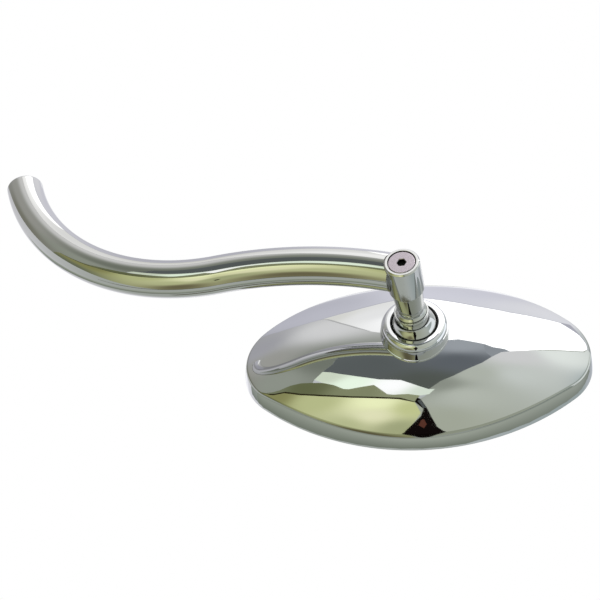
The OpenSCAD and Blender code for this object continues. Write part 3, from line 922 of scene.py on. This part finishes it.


# Lines in the tent, where one card meets the next. They follow the edges of the reflections
# in the photo, measured there and then redrawn in whole degrees.
FAR_LINE = [
    (-60, 92), (-53, 88), (-45, 78), (-37, 74), (-29, 73), (-20, 76), (-14, 80), (-7, 86),
    (-2, 87), (2, 87), (9, 81), (17, 75), (27, 72), (37, 74), (45, 78), (49, 83), (56, 68),
    (62, 55), (63, 47),
]
RAY_LINE = [(-29, 73), (-27, 70), (-23, 59), (-18, 48), (-14, 41), (-8, 35), (-4, 14)]
SLATE_LEFT = [(-32, 2), (-28, 8), (-25, 17), (-21, 16), (-4, 14)]
SLATE_TOP = [(9, 26), (12, 27), (16, 25), (20, 23)]
STRIP_TOP = [(20, 23), (23, 20), (27, 19), (29, 17)]
STRIP_LEFT = [(20, 20), (21, 13), (23, 9)]
SLATE_LOW = [(3, -25), (0, -22), (-6, -15), (-13, -13), (-20, -8), (-26, -3), (-29, 0), (-32, 2)]
WALL_LEFT = [(29, 17), (26, 15), (23, 9), (20, 2), (16, -4), (11, -12), (7, -17), (3, -25)]
WALL_TOP = [(29, 17), (36, 21), (44, 26), (54, 33), (61, 40), (63, 47)]
OLIVE_LINE = [
    (-68, -4), (-57, -11), (-51, -12), (-44, -18), (-35, -23), (-24, -28), (-14, -31), (-7, -33),
    (-2, -37),
]
WEDGE_LEFT = [(-36, -5), (-33, -10), (-29, -14), (-26, -19)]
WEDGE_LOW = [
    (-24, -20), (-20, -19), (-15, -18), (-13, -23), (-11, -28), (-9, -29), (-4, -29), (0, -31),
]
WEDGE_RIGHT = [(3, -30), (5, -25)]
OLIVE_UP = [(-68, -4), (-57, -8), (-53, -8), (-47, -6), (-42, -6), (-37, -8)]

card("card_below", [polar(176, 7.5 * k) for k in range(48)], [
    (-60, -100, (160, 165, 160)), (-62, 100, (165, 165, 170)), (-90, 112, (245, 245, 250)),
    (-10, 150, (230, 230, 235)), (120, -20, (150, 160, 160)), (88, 66, (170, 175, 180)),
    (30, 122, (245, 245, 250)),
], 0)
BAND_INNER, BAND_OUTER = 120.5, 136.5
BAND = range(-200, 31, 10)


def band_tone(u, v):
    """Darker further from the dome's axis, lighter and bluer at the band's two ends."""
    t = (math.hypot(u, v) - BAND_INNER) / (BAND_OUTER - BAND_INNER)
    lift = 9 * min(max((math.degrees(math.atan2(v, u)) + 60) / 60, 0), 1)
    return 160 - 50 * t + lift, 166 - 50 * t + lift, 155 - 50 * t + 1.4 * lift


card("card_wall_band",
     [polar(BAND_INNER, a) for a in BAND]
     + [polar(BAND_OUTER - (1.8 if a > -65 else 0), a) for a in reversed(BAND)], band_tone, 1,
     fine=3)
# Put in for the photo's dark crescent at the barrel's foot, which the render hardly shows
UNDER = range(-125, -60, 5)
card("card_under", [polar(138.9 - (62 + a) * 0.0727, a) for a in UNDER]
     + [polar(150, a) for a in reversed(UNDER)], (90, 90, 75), 1, fine=3)
card("card_left", [(-86, -8), (-92, 60)] + FAR_LINE[:4] + RAY_LINE + SLATE_LEFT[-2::-1]
     + [WEDGE_LEFT[0]] + OLIVE_UP[::-1], [
    (-50, 3, (140, 145, 135)), (-30, 12, (110, 115, 105)), (-54, 30, (150, 150, 145)),
    (-27, 54, (205, 205, 205)), (-57, 60, (155, 155, 160)), (-84, 20, (120, 120, 110)),
], 2)
card("card_ray", FAR_LINE[4:9] + [(0, 20)] + RAY_LINE[::-1][1:-1], [
    (-26, 70, (210, 210, 205)), (-14, 64, (225, 225, 225)), (-3, 55, (250, 250, 250)),
], 3, fine=3)
card("card_top_right", FAR_LINE[8:] + WALL_TOP[-2::-1] + STRIP_TOP[-2::-1]
     + SLATE_TOP[-2::-1] + [(-2, 28)], (255, 255, 255), 3, WHITE_POWER)
card("card_far", FAR_LINE + [(84, 66), (66, 92), (48, 106), (24, 117), (0, 127), (-32, 116),
     (-50, 104), (-90, 85)], [
    (-72, 86, (155, 155, 160)), (-35, 97, (185, 185, 195)), (10, 105, (210, 210, 220)),
    (40, 92, (220, 220, 225)), (66, 62, (185, 190, 190)),
], 4)
card("card_right", WALL_LEFT[::-1] + WALL_TOP[1:] + [(100, 40), (102, -20), (66, -84), (-2, -102),
     (-5, -66), (-1, -50), (-2, -37), (2, -31)], [
    (7, -20, (135, 140, 130)), (18, -10, (170, 175, 165)), (30, 13, (200, 200, 200)),
    (50, 24, (220, 225, 220)), (34, -8, (190, 195, 190)), (15, -31, (175, 180, 170)),
    (7, -55, (160, 165, 150)), (80, 0, (160, 170, 170)),
], 2, fine=3.5)
card("card_cream", OLIVE_LINE + [(-1, -42), (0, -48), (-2, -55), (-6, -66)]
     + [polar(104, a) for a in range(-92, -119, -13)]
     + [polar(98, -130), polar(92, -142), polar(87, -154), polar(85, -166), (-86, -8)], [
    (-57, -14, (130, 130, 85)), (-38, -28, (180, 185, 135)), (-15, -36, (235, 240, 190)),
    (-3, -43, (190, 195, 140)), (-17, -48, (225, 225, 185)), (-30, -56, (180, 185, 140)),
    (-8, -62, (160, 165, 125)), (-30, -82, (105, 100, 75)), (-84, -22, (100, 105, 85)),
], 3, fine=3.5)
card("card_slate", SLATE_LEFT + SLATE_TOP + STRIP_LEFT + WALL_LEFT[3:] + SLATE_LOW[1:-1], [
    (-15, 2, (85, 90, 90)), (2, -18, (80, 85, 80)), (12, 3, (90, 95, 100)),
    (12, 20, (150, 155, 160)),
], 5, fine=3)
card("card_strip", STRIP_TOP[:1] + STRIP_LEFT + WALL_LEFT[1:2] + STRIP_TOP[:0:-1],
     (135, 140, 145), 5, fine=3)
card("card_white", SLATE_LOW[::-1] + WEDGE_RIGHT[::-1] + WEDGE_LOW[::-1] + WEDGE_LEFT[::-1], [
    (-30, -5, (200, 210, 190)), (-23, -14, (230, 245, 225)), (-9, -20, (255, 255, 255)),
    (2, -27, (210, 220, 205)),
], 6, fine=3)
card("card_olive", OLIVE_UP + WEDGE_LEFT[1:] + WEDGE_LOW + OLIVE_LINE[:0:-1], [
    (-56, -7, (110, 115, 90)), (-41, -12, (95, 100, 70)), (-22, -24, (125, 130, 100)),
    (-6, -31, (140, 145, 115)),
], 6, fine=2.5)
card("card_above", [polar(133, a) for a in range(76, 115, 6)]
     + [polar(148, a) for a in range(112, 75, -6)], (90, 100, 90), 1)
card("card_side", [polar(82, a) for a in range(-22, 37, 8)]
     + [polar(118, a) for a in range(34, -23, -8)], (240, 245, 250), 5)
line_card("card_edge_line", [polar(104.5, a) for a in range(-150, -89, 10)], 2.5, (85, 85, 70), 8)
line_card("card_edge_right", [polar(103, a) for a in range(-72, -11, 10)], 5, (85, 90, 85), 8)
line_card("card_dark_line", OLIVE_LINE, 1.5, (40, 35, 20), 8)
line_card("card_wall_line", WALL_TOP[1:], 0.9, (160, 165, 155), 8)
line_card("card_ray_line", RAY_LINE[:5], 0.8, (170, 170, 170), 8)
line_card("card_far_line", FAR_LINE, 0.8, (170, 170, 180), 8)
card("card_seam", [
    (-8, -69), (-3, -58), (0, -51), (1, -44), (-2, -37), (-1, -33), (0, -34), (2, -42), (4, -53),
    (6, -62), (10, -69), (7, -84), (6, -103), (2, -113), (-2, -103), (-4, -84),
], (15, 10, 10), 9, fine=3)
card("card_seam_brown", [(0, -55), (1, -54), (2, -59), (1, -63), (-1, -60)], (85, 50, 40), 10)
card("card_seam_gray", [(-1, -36), (0, -35), (2, -43), (1, -43)], (75, 80, 80), 10)


def lit_white(name, ground):
    """White where it is seen or mirrored, a plain diffuse surface for the light."""
    mat = bpy.data.materials.new(name)
    mat.use_nodes = True
    tree = mat.node_tree
    tree.nodes.clear()
    out = tree.nodes.new("ShaderNodeOutputMaterial")
    path = tree.nodes.new("ShaderNodeLightPath")
    diffuse = tree.nodes.new("ShaderNodeBsdfDiffuse")
    diffuse.inputs["Color"].default_value = ground
    light = tree.nodes.new("ShaderNodeEmission")
    add1 = tree.nodes.new("ShaderNodeMath")
    add2 = tree.nodes.new("ShaderNodeMath")
    add2.use_clamp = True
    tree.links.new(path.outputs["Is Camera Ray"], add1.inputs[0])
    tree.links.new(path.outputs["Is Glossy Ray"], add1.inputs[1])
    tree.links.new(add1.outputs[0], add2.inputs[0])
    tree.links.new(path.outputs["Is Transmission Ray"], add2.inputs[1])
    mix = tree.nodes.new("ShaderNodeMixShader")
    tree.links.new(add2.outputs[0], mix.inputs[0])
    tree.links.new(diffuse.outputs[0], mix.inputs[1])
    tree.links.new(light.outputs[0], mix.inputs[2])
    tree.links.new(mix.outputs[0], out.inputs["Surface"])
    return mat


# Half the floor's side and its height, in metres
FLOOR_HALF, FLOOR_Z = 40, -2.7
floor_mesh = bpy.data.meshes.new("floor")
floor_mesh.from_pydata(
    [(x * FLOOR_HALF, y * FLOOR_HALF, FLOOR_Z) for x, y in ((-1, -1), (1, -1), (1, 1), (-1, 1))],
    [], [(0, 1, 2, 3)],
)
floor_mesh.materials.append(lit_white("floor", (0.86, 0.86, 0.85, 1)))
floor = bpy.data.objects.new("floor", floor_mesh)
bpy.context.scene.collection.objects.link(floor)

world = bpy.data.worlds.new("studio")
world.use_nodes = True
bpy.context.scene.world = world
wt = world.node_tree
wt.nodes.clear()
w_out = wt.nodes.new("ShaderNodeOutputWorld")
w_bg = wt.nodes.new("ShaderNodeBackground")
w_bg.inputs["Color"].default_value = (1, 1, 1, 1)
w_bg.inputs["Strength"].default_value = 1.0
wt.links.new(w_bg.outputs[0], w_out.inputs["Surface"])

KEY_AT = Vector((-0.7, -0.9, -0.6))
key_data = bpy.data.lights.new("soft_key", "AREA")
key_data.shape = "DISK"
key_data.size = 0.9
key_data.energy = 9.0
key = bpy.data.objects.new("soft_key", key_data)
key_turn = (KEY_AT - TENT_AT * MM).to_track_quat("Z", "Y")
key.matrix_world = Matrix.Translation(KEY_AT) @ key_turn.to_matrix().to_4x4()
bpy.context.scene.collection.objects.link(key)
key.visible_glossy = False

# The camera was fitted to the photo's outlines: its place in metres and its turn in degrees
CAMERA_AT = (-0.097492, -0.469605, 0.505524)
CAMERA_TURN = (-48.987001, -14.084849, 169.321982)
cam_data = bpy.data.cameras.new("camera")
cam_data.sensor_fit = "HORIZONTAL"
cam_data.sensor_width = 36.0
cam_data.lens = 85.86
cam_data.shift_x = -0.00167
cam_data.shift_y = 0.00083
cam_data.clip_start = 0.01
cam_data.clip_end = 100.0
camera = bpy.data.objects.new("camera", cam_data)
camera.location = CAMERA_AT
camera.rotation_euler = [math.radians(angle) for angle in CAMERA_TURN]
bpy.context.scene.collection.objects.link(camera)
bpy.context.scene.camera = camera
bpy.context.scene.view_settings.view_transform = "Standard"

bpy.context.view_layer.update()
